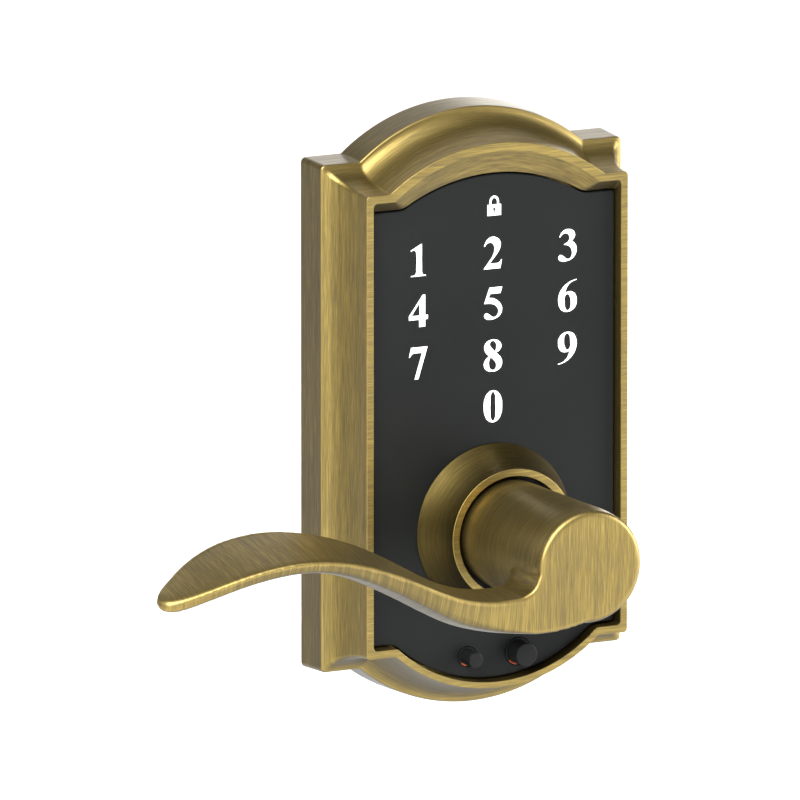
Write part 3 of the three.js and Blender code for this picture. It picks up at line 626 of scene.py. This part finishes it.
# Numerals of a bold book face, drawn in hundredths of their height. "c" is a corner and "s" a
# smooth point; the first outline is the ink and the others are holes in it.
SIX = [
    [("c", 64, 100), ("s", 47.7, 96.6), ("s", 29, 87.6), ("s", 12.6, 73), ("s", 2.3, 53),
     ("s", 0.4, 32), ("s", 8, 10.6), ("s", 19.6, 2.1), ("s", 31.5, 0), ("s", 47.7, 4),
     ("s", 60.3, 16.3), ("s", 64, 34), ("s", 58.7, 53.6), ("s", 47.7, 62), ("s", 34.5, 63),
     ("c", 24.4, 60), ("s", 29, 74), ("s", 38.4, 86.4), ("s", 50, 93.8), ("c", 64, 97.6)],
    [("s", 32.7, 55.6), ("s", 40.6, 46), ("s", 43.6, 27), ("s", 39.8, 9.6), ("s", 32.3, 4.8),
     ("s", 25.6, 11), ("s", 22, 30.6), ("s", 23.8, 49.5)],
]
NUMERALS = {
    "0": [
        [("s", 31.5, 100), ("s", 50, 92), ("s", 60.6, 73), ("s", 63, 50), ("s", 60.6, 27),
         ("s", 50, 8), ("s", 31.5, 0), ("s", 13, 8), ("s", 2.4, 27), ("s", 0, 50),
         ("s", 2.4, 73), ("s", 13, 92)],
        [("s", 31.5, 95), ("s", 37.8, 88), ("s", 40, 66), ("s", 40.2, 34), ("s", 37.8, 12),
         ("s", 31.5, 5), ("s", 25.2, 12), ("s", 22.8, 34), ("s", 23, 66), ("s", 25.2, 88)],
    ],
    "1": [
        [("c", 7, 0), ("c", 58, 0), ("c", 58, 3), ("s", 49, 5.2), ("s", 45, 12),
         ("s", 44.5, 22), ("c", 44.5, 100), ("c", 42, 100), ("c", 6, 82), ("c", 7, 78.6),
         ("s", 15, 81.4), ("s", 22, 79.4), ("s", 25, 71), ("s", 25, 22), ("s", 24.4, 12),
         ("s", 20, 5.2), ("c", 7, 3)],
    ],
    "2": [
        [("c", 0, 0), ("c", 56.6, 0), ("c", 62, 27), ("c", 59.2, 27.4), ("s", 55, 20.4),
         ("s", 47.6, 17.4), ("c", 21, 17.2), ("s", 32.7, 31.2), ("s", 46.8, 48), ("s", 55.4, 62),
         ("s", 58, 75), ("s", 53.6, 88.4), ("s", 44, 96.4), ("s", 31, 100), ("s", 14.4, 94.6),
         ("s", 5, 83), ("c", 0.8, 71.6), ("c", 3.6, 70.4), ("s", 9.6, 78), ("s", 18.6, 82),
         ("s", 28.6, 79.4), ("s", 35, 70.6), ("s", 36, 57.6), ("s", 30.4, 41), ("s", 18.7, 24.6),
         ("c", 0, 2.4)],
    ],
    "3": [
        [("c", 4, 77), ("s", 10.8, 89.4), ("s", 21, 97.4), ("s", 36, 100), ("s", 50.4, 95),
         ("s", 57.8, 82.6), ("s", 54.8, 70.6), ("c", 46.6, 62.2), ("s", 58.3, 52.6),
         ("s", 63, 37.6), ("s", 60, 20.6), ("s", 48, 6.8), ("s", 29.5, 0.4), ("s", 13, 0.8),
         ("s", 2.8, 6), ("s", 0, 13), ("s", 3.4, 19.4), ("s", 10.8, 21.2), ("s", 20, 15.2),
         ("s", 29, 8), ("s", 39, 8), ("s", 46.3, 17.6), ("s", 47, 31), ("s", 41, 43.4),
         ("s", 31, 50), ("c", 20, 51.6), ("c", 20, 54), ("s", 31.6, 59.4), ("s", 38.6, 69.6),
         ("s", 36.6, 80.6), ("s", 29.4, 86.6), ("s", 20, 86.8), ("s", 12.4, 82.4),
         ("c", 6.4, 75.8)],
    ],
    "4": [
        [("c", 35, 0), ("c", 55.7, 0), ("c", 55.7, 22.8), ("c", 65, 22.8), ("c", 65, 36),
         ("c", 55.7, 36), ("c", 55.7, 100), ("c", 48, 100), ("c", 0, 36), ("c", 0, 22.8),
         ("c", 35, 22.8)],
        [("c", 36, 74), ("c", 36, 36), ("c", 8.6, 36)],
    ],
    "5": [
        [("c", 19.6, 100), ("c", 63, 100), ("c", 57, 80), ("c", 21.6, 80), ("c", 16.6, 68.4),
         ("s", 32.3, 66), ("s", 48.6, 57), ("s", 60, 42.6), ("s", 62.6, 29), ("s", 56, 13),
         ("s", 41.6, 3.2), ("s", 23, 0), ("s", 9, 2.4), ("s", 1.4, 9.6), ("s", 2.6, 17.6),
         ("s", 10, 20.8), ("s", 20.6, 15.2), ("s", 31, 8), ("s", 42, 9.8), ("s", 49.6, 21.6),
         ("s", 47, 35), ("s", 37, 44.8), ("s", 20.6, 50), ("c", 1, 50.6)],
    ],
    "6": SIX,
    "7": [
        [("c", 19.4, 0), ("c", 32, 0), ("c", 63, 97), ("c", 63, 100), ("c", 7.6, 100),
         ("c", 0, 69.8), ("c", 2.8, 69), ("s", 8, 77), ("s", 16, 81), ("s", 26, 81.4),
         ("c", 45, 81.4)],
    ],
    "8": [
        [("s", 31.8, 100), ("s", 51.6, 94.2), ("s", 60.6, 79.8), ("s", 56.6, 67.4),
         ("c", 43, 57.6), ("s", 57, 44.4), ("s", 63, 28.5), ("s", 57.6, 10.6), ("s", 44, 2),
         ("s", 28, 0), ("s", 9.4, 5.6), ("s", 0, 21), ("s", 5, 37.4), ("c", 17.8, 48.6),
         ("s", 6, 61.4), ("s", 1.4, 77), ("s", 8.4, 92), ("s", 20, 98.8)],
        [("s", 31.8, 95.6), ("s", 40, 90.2), ("s", 43, 77.4), ("c", 39.6, 61.6),
         ("s", 28, 72.6), ("s", 20.6, 84.4), ("s", 23.6, 93)],
        [("c", 23, 45.8), ("s", 34.6, 35.4), ("s", 42, 23.4), ("s", 40.6, 10.8),
         ("s", 31.6, 5), ("s", 22.6, 9), ("s", 17.8, 20.6), ("s", 18.6, 35)],
    ],
    "9": [[(kind, 64 - x, 100 - y) for kind, x, y in loop] for loop in SIX],
}
NUMERAL_HEIGHT = 7.3
NUMERAL_MIDDLE = 31.5  # in drawing units
COLUMNS = (-18.8, -0.08, 18.55)
ROWS = (62.52, 50.99, 39.14, 27.57)
KEYPAD = ["123", "456", "789", " 0 "]
INK_HEIGHT = 0.03


def print_mark(curve, loops, scale, x, z, middle):
    """Adds outlines, given in drawing units, to a flat curve at a place on the panel."""
    for loop in loops:
        spline = curve.splines.new("BEZIER")
        spline.bezier_points.add(len(loop) - 1)
        spline.use_cyclic_u = True
        spline.resolution_u = 6
        for point, (kind, u, v) in zip(spline.bezier_points, loop):
            point.co = ((x + (u - middle) * scale) * MM, (z + (v - 50) * scale) * MM, 0)
            handle = "VECTOR" if kind == "c" else "AUTO"
            point.handle_left_type = handle
            point.handle_right_type = handle


def printed(name, marks):
    """White print on the panel, as one thin solid."""
    curve = bpy.data.curves.new(name, "CURVE")
    curve.dimensions = "2D"
    curve.fill_mode = "BOTH"
    curve.extrude = INK_HEIGHT * MM / 2
    for mark in marks:
        print_mark(curve, *mark)
    draft = bpy.data.objects.new(name + "_draft", curve)
    bpy.context.scene.collection.objects.link(draft)
    draft.rotation_euler = (math.pi / 2, 0, 0)
    bpy.context.view_layer.update()
    mesh = bpy.data.meshes.new_from_object(
        draft.evaluated_get(bpy.context.evaluated_depsgraph_get()))
    mesh.transform(draft.matrix_world)
    shift = Vector((0, (PANEL_Y - INK_HEIGHT / 2 + 0.005) * MM, 0))
    for vertex in mesh.vertices:
        vertex.co += shift
    bm = bmesh.new()
    bm.from_mesh(mesh)
    bmesh.ops.remove_doubles(bm, verts=bm.verts, dist=1e-7)
    bmesh.ops.recalc_face_normals(bm, faces=bm.faces)
    bm.to_mesh(mesh)
    bm.free()
    bpy.data.objects.remove(draft)
    return finish_mesh(mesh, name)


marks = []
for z, row in zip(ROWS, KEYPAD):
    for x, key in zip(COLUMNS, row):
        if key in NUMERALS:
            scale = NUMERAL_HEIGHT / 100
            marks.append((NUMERALS[key], scale, x, z, NUMERAL_MIDDLE))
place(printed("keypad_numerals", marks), "escutcheon", "black_lens", [INK])

PADLOCK_SCALE = 0.045
PADLOCK_SPOT = (0.2, 73.2)
PADLOCK = [
    [("c", 0, 0), ("c", 76, 0), ("c", 76, 56), ("c", 64, 56), ("s", 64, 74), ("s", 56, 92),
     ("s", 38, 100), ("s", 20, 92), ("s", 12, 74), ("c", 12, 56), ("c", 0, 56)],
    [("c", 23, 56), ("c", 53, 56), ("s", 53, 74), ("s", 48, 84), ("s", 38, 89), ("s", 28, 84),
     ("s", 23, 74)],
    [("s", 38, 40), ("s", 45, 33), ("s", 42, 26), ("c", 42, 14), ("c", 34, 14), ("s", 34, 26),
     ("s", 31, 33)],
]
place(printed("padlock_mark", [(PADLOCK, PADLOCK_SCALE, *PADLOCK_SPOT, 38)]), "escutcheon",
      "black_lens", [INK])

# ---------------------------------------------------------------- battery contacts


def orange_tab(mesh, x):
    """Leaves only the part of a seal at the lower left orange; the rest is painted black as shade."""
    for face in mesh.polygons:
        angle = math.degrees(math.atan2(face.center.z / MM - STUD_Z, face.center.x / MM - x))
        face.material_index = 0 if TAB_FROM < angle % 360 < TAB_TO else 1


for label, (x, r) in STUDS.items():
    stud = turned("contact_pin_" + label,
                  [(0.01, STUD_Y), (r, STUD_Y), (r, PANEL_BACK_Y), (0.01, PANEL_BACK_Y)],
                  {1: STUD_EDGE}, None, x, STUD_Z, 64)
    place(finish_mesh(stud, "contact_pin_" + label), "escutcheon", "black_contact", [CONTACT],
          "contact_stud_" + label)
    inner = r + SEAL_GAP
    outer = inner + SEAL_WIDTH
    front = PANEL_Y - SEAL_PROUD
    seal = turned("contact_o_ring_" + label,
                  [(inner, front), (outer, front), (outer, PANEL_BACK_Y), (inner, PANEL_BACK_Y)],
                  {0: SEAL_EDGE, 1: SEAL_EDGE}, None, x, STUD_Z, 72)
    orange_tab(seal, x)
    place(finish_mesh(seal, "contact_o_ring_" + label), "escutcheon", "orange_seal",
          [ORANGE, CONTACT], "contact_seal_" + label)

# ---------------------------------------------------------------- collar


def collar():
    """A flared collar with a flat face and a bore that the neck turns in. Its flank and base are
    painted darker brass and its bore black, both as painted shade.
    """
    base = PANEL_Y - COLLAR_LIFT
    steps = 26
    profile = []
    for i in range(steps + 1):
        t = i / steps
        r = COLLAR_FACE_R + (COLLAR_BASE_R - COLLAR_FACE_R) * (1 - t) ** COLLAR_FLARE
        profile.append((r, base + (COLLAR_FACE_Y - base) * t))
    rim = len(profile) - 1
    profile += [(COLLAR_BORE_R, COLLAR_FACE_Y), (COLLAR_BORE_R, COLLAR_STEP_Y),
                (BUSHING_R, COLLAR_STEP_Y), (BUSHING_R, COLLAR_BACK_Y),
                (COLLAR_TUBE_R, COLLAR_BACK_Y), (COLLAR_TUBE_R, base)]
    # Painted shade: the flank and the base take the darker brass copy, and the bore takes black.
    zones = ["flank"] * rim + ["face", "dark", "dark", "dark", "run", "run", "flank"]
    radii = {0: 0.2, rim: 0.16, rim + 1: 0.12}
    return turned("lever_collar", profile, radii, zones, count=144)


place(finish_mesh(collar(), "lever_collar"), "escutcheon", "antique_brass",
      [BRASS, DEEP_SHADE_BRASS, CONTACT], "rose_collar")

# ---------------------------------------------------------------- lever


def smooth_stations(step=0.8):
    """The arm's table read off at even steps along a smooth curve."""
    x = -ARM[:, 0]
    spots = np.unique(np.concatenate([np.arange(x[0], x[-1], step), x]))
    slopes = np.gradient(ARM, x, axis=0)
    out = []
    for s in spots:
        i = min(np.searchsorted(x, s, "right") - 1, len(x) - 2)
        h = x[i + 1] - x[i]
        u = (s - x[i]) / h
        a, b = ARM[i], ARM[i + 1]
        out.append((2 * u**3 - 3 * u**2 + 1) * a + (u**3 - 2 * u**2 + u) * h * slopes[i]
                   + (3 * u**2 - 2 * u**3) * b + (u**3 - u**2) * h * slopes[i + 1])
    return out


def resample(points, count):
    """The closed loop as evenly spaced points."""
    loop = np.concatenate([points, points[:1]])
    run = np.concatenate([[0], np.cumsum(np.linalg.norm(np.diff(loop, axis=0), axis=1))])
    spots = np.linspace(0, run[-1], count, endpoint=False)
    return np.stack([np.interp(spots, run, loop[:, k]) for k in range(loop.shape[1])], 1)


def arm_section(row):
    """The arm's closed section at one station."""
    x, up, low, deep, rise, back, belly, shy = row
    front = HEAD_Y + shy + (ARM_BEND * (x - ARM_BEND_X) ** 2 if x < ARM_BEND_X else 0)
    rear = front + deep
    top, bottom = up + rise * deep, up + rise * deep - back
    edge = min(0.5, (up - low) / 3, deep / 3)
    lean = ARM_LEAN * (up - low) * min(max((-14 - x) / 16, 0), 1, max((100 + x) / 16, 0))
    nose = min(back / 2, deep / 3)
    upper = [(front + deep * t, up + rise * deep * t + math.sin(math.pi * t) * 0.25)
             for t in np.linspace(0, 1 - nose / deep, 12)[1:]]
    lower = [(front + deep * t, low + (bottom - low) * t - math.sin(math.pi * t) * belly)
             for t in np.linspace(1 - nose / deep, 0, 12)[:-1]]
    middle, half = (top + bottom) / 2, back / 2
    tail = [(rear - nose + nose * math.sin(a), middle + half * math.cos(a))
            for a in np.linspace(0.12, math.pi - 0.12, 9)]
    lower = [(max(y, front + lean + edge), z) for y, z in lower]
    points = [(front + lean, low + edge), (front, up - edge),
              (front + edge * 0.3, up - edge * 0.3), (front + edge, up), *upper, *tail, *lower,
              (front + lean + edge, low), (front + lean + edge * 0.3, low + edge * 0.3)]
    ring = resample(np.array(points), 96)
    return np.column_stack([np.full(len(ring), x), ring])


def capped_loft(rings):
    """Points and faces of a skin through a row of rings, closed by a face at each end."""
    n = len(rings[0])
    faces = [(i * n + j, i * n + (j + 1) % n, (i + 1) * n + (j + 1) % n, (i + 1) * n + j)
             for i in range(len(rings) - 1) for j in range(n)]
    faces += [tuple(range(n))[::-1], tuple(range((len(rings) - 1) * n, len(rings) * n))]
    return np.concatenate(rings), faces


def lathe_profile(profile, count=120):
    """Points and faces of a solid turned about the Y axis, from rows of radius and y."""
    rings = [circle(max(r, 0.02), y, count=count) for r, y in profile]
    return capped_loft(rings)


def solid_mesh(name, points, faces):
    mesh = bpy.data.meshes.new(name)
    mesh.from_pydata((np.asarray(points) * MM).tolist(), [], faces)
    bm = bmesh.new()
    bm.from_mesh(mesh)
    bmesh.ops.recalc_face_normals(bm, faces=bm.faces)
    bm.to_mesh(mesh)
    bm.free()
    return mesh


def modified(mesh, kind, **settings):
    """The mesh after one modifier."""
    draft = bpy.data.objects.new("draft", mesh)
    bpy.context.scene.collection.objects.link(draft)
    made = draft.modifiers.new("step", kind)
    for key, value in settings.items():
        setattr(made, key, value)
    bpy.context.view_layer.update()
    result = bpy.data.meshes.new_from_object(
        draft.evaluated_get(bpy.context.evaluated_depsgraph_get()))
    bpy.data.objects.remove(draft)
    return result


def relax(points, edges, rounds, strength=0.5, back=-0.52):
    """Taubin smoothing: each round smooths, then grows back what it shrank."""
    count = np.bincount(edges.ravel(), minlength=len(points))[:, None]
    for _ in range(rounds):
        for step in (strength, back):
            total = np.zeros_like(points)
            np.add.at(total, edges[:, 0], points[edges[:, 1]])
            np.add.at(total, edges[:, 1], points[edges[:, 0]])
            points = points + step * (total / count - points)
    return points


def drilled(hub):
    """The hub with the set screw's hole cut through the underside of its neck."""
    near, far = SEAT_R - 2, NECK_R + 2
    bit = [(0, near), (SET_SCREW_R, near), (SET_SCREW_R, far), (0, far)]
    points, faces = lathe_profile(bit, 40)
    points = np.stack([points[:, 0], SET_SCREW_Y + points[:, 2], -points[:, 1]], 1)
    drill = bpy.data.objects.new("drill", solid_mesh("drill", points, faces))
    bpy.context.scene.collection.objects.link(drill)
    cut = modified(hub, "BOOLEAN", operation="DIFFERENCE", object=drill, solver="EXACT")
    bpy.data.objects.remove(drill)
    return cut


def edge_wear(points, edges, normals):
    """How sharply the surface bends outwards, from 0 on flat parts to 1 on a worn edge."""
    count = np.bincount(edges.ravel(), minlength=len(points))
    reach = np.mean(np.linalg.norm(points[edges[:, 0]] - points[edges[:, 1]], axis=1))
    bend = -4 * np.einsum("ij,ij->i", relax(points, edges, 1, 1.0, 0.0) - points, normals)
    bend /= reach**2
    for _ in range(3):
        total = (np.bincount(edges[:, 0], bend[edges[:, 1]], len(points))
                 + np.bincount(edges[:, 1], bend[edges[:, 0]], len(points)))
        bend = 0.4 * bend + 0.6 * total / count
    return np.clip((bend - WEAR_FROM) / (WEAR_FULL - WEAR_FROM), 0, 1)


def on_neck(spots):
    """Which spots lie round the neck, clear of the head's front edge and the arm's root."""
    x, y, z = spots.T
    root = (x < ROOT_X) & (z < ROOT_Z) & (y < ROOT_Y)
    return (np.hypot(x, z) < NECK_R + 0.9) & (y > HEAD_Y + 1.6) & ~root


def lever():
    """The hub and the arm melted into one skin. It is brushed round the neck, up and down on the
    front, and front to back on top of the arm."""
    head = [(0, HEAD_Y), (HEAD_R - HEAD_EDGE, HEAD_Y)]
    head += [(HEAD_R - HEAD_EDGE * (1 - math.sin(a)), HEAD_Y + HEAD_EDGE * (1 - math.cos(a)))
             for a in np.linspace(0.25, math.pi / 2, 8)]
    head += [(HEAD_R + 0.25, HEAD_Y + 5), (HEAD_R + 0.2, HEAD_Y + 8), (NECK_R + 0.05, -54),
             (NECK_R, -50), (NECK_R - NECK_TAPER, NECK_BACK_Y - 4), (NECK_R - 0.4, NECK_BACK_Y),
             (SEAT_R, NECK_BACK_Y), (SEAT_R, SEAT_Y), (0, SEAT_Y)]
    hub = drilled(solid_mesh("hub", *lathe_profile(head)))
    arm = solid_mesh("arm", *capped_loft([arm_section(row) for row in smooth_stations()]))
    both = join_meshes("lever", [hub, arm])
    voxel = VOXEL
    mesh = modified(both, "REMESH", mode="VOXEL", voxel_size=voxel * MM, use_smooth_shade=True)
    points = np.empty(len(mesh.vertices) * 3)
    mesh.vertices.foreach_get("co", points)
    edges = np.empty(len(mesh.edges) * 2, np.int64)
    mesh.edges.foreach_get("vertices", edges)
    edges = edges.reshape(-1, 2)
    points = relax(points.reshape(-1, 3), edges, RELAX_ROUNDS)
    mesh.vertices.foreach_set("co", points.ravel())
    mesh.update()
    normals = np.empty(len(mesh.vertices) * 3, np.float32)
    mesh.vertex_normals.foreach_get("vector", normals)
    points = points / MM
    wear = edge_wear(points, edges, normals.reshape(-1, 3))
    loops = np.empty(len(mesh.loops), np.int64)
    mesh.loops.foreach_get("vertex_index", loops)
    sizes = np.empty(len(mesh.polygons), np.int64)
    mesh.polygons.foreach_get("loop_total", sizes)
    centres = np.empty(len(mesh.polygons) * 3)
    mesh.polygons.foreach_get("center", centres)
    centres = centres.reshape(-1, 3) / MM
    neck = np.repeat(on_neck(centres), sizes)
    spots = points[loops]
    angle = np.abs(np.arctan2(spots[:, 0], -spots[:, 2]))
    round_way = np.stack([angle * NECK_R, spots[:, 1], np.full(len(spots), NECK_GRAIN)], 1)
    long_way = np.stack(
        [spots[:, 2] + spots[:, 1], spots[:, 0], np.full(len(spots), ARM_GRAIN)], 1)
    grain = np.where(neck[:, None], round_way, long_way)
    store(mesh, grain, wear)
    return mesh


place(finish_mesh(lever(), "wave_lever", 70), "lever", "antique_brass", [BRASS], "lever_handle")

# ---------------------------------------------------------------- carried-over CAD pieces

EDGE_BREAK = 0.12  # fine chamfer on the CAD pieces' edges
replaced = {"escutcheon_housing", "touch_lens", "rose_collar", "lever_handle"}
replaced |= {kind + label for kind in ("contact_stud_", "contact_seal_") for label in STUDS}
slots = {part["node"]: part["material_slot"] for part in frame["record"]["subparts"]}
for name, piece in NODES.items():
    if name in replaced:
        continue
    piece.data.materials.clear()
    piece.data.materials.append(SLOTS[slots[name]])
    bevel = piece.modifiers.new("bevel", "BEVEL")
    bevel.width = EDGE_BREAK * MM
    bevel.segments = 2
    bevel.limit_method = "ANGLE"
    bevel.angle_limit = math.radians(40)

# ---------------------------------------------------------------- floor and light

bpy.ops.mesh.primitive_plane_add(size=90, location=(0, 0, -0.5))
floor = bpy.context.object
floor.name = "floor"
floor.data.materials.append(plain("floor_white", (0.80, 0.80, 0.80), (0.83, 0.83, 0.83), 0.9,
                                  4.0, 0.0))
glow(floor.data.materials[0], 0.04)

AIM = (0, 0, 0.02)
WORLD_LIGHT = 0.02
world = bpy.data.worlds.new("studio")
world.use_nodes = True
world_nodes, world_links = world.node_tree.nodes, world.node_tree.links
seen = world_nodes.new("ShaderNodeLightPath")
level = world_nodes.new("ShaderNodeMapRange")  # the room is white to look at, but lights little
level.inputs["To Min"].default_value = WORLD_LIGHT
level.inputs["To Max"].default_value = 1.0
world_links.new(seen.outputs["Is Camera Ray"], level.inputs["Value"])
world_links.new(level.outputs["Result"], world_nodes["Background"].inputs["Strength"])
world_nodes["Background"].inputs["Color"].default_value = (1, 1, 1, 1)
bpy.context.scene.world = world
bpy.context.scene.view_settings.view_transform = "Standard"

sun = bpy.data.objects.new("overhead", bpy.data.lights.new("overhead", "SUN"))
sun.data.energy = 0.8
sun.data.angle = math.radians(50)
sun.rotation_euler = (math.radians(20), math.radians(-12), 0)
bpy.context.scene.collection.objects.link(sun)
LIGHTS = [  # name, place, what it points at, size, power
    ("key_upper_left", (-1.5, -1.5, 1.6), AIM, (2.2, 2.2), 155),
    ("fill_right", (2.2, -0.9, 0.3), AIM, (1.4, 1.4), 58),
    ("fill_low", (0.2, -2.0, -0.35), AIM, (2.4, 0.5), 6),
    ("rim_back_left", (-1.6, 1.8, 0.9), AIM, (1.6, 1.2), 5),
    ("rim_back_low", (1.1, 2.1, 0.42), AIM, (1.8, 0.5), 9),
    ("rim_back_high", (0.5, 1.6, 1.4), AIM, (1.8, 1.0), 6),
    ("background", (1.25, 2.3, 0.35), (1.15, 2.2, -0.5), (1.2, 1.2), 15),
]
for light in LIGHTS:
    area_light(*light)
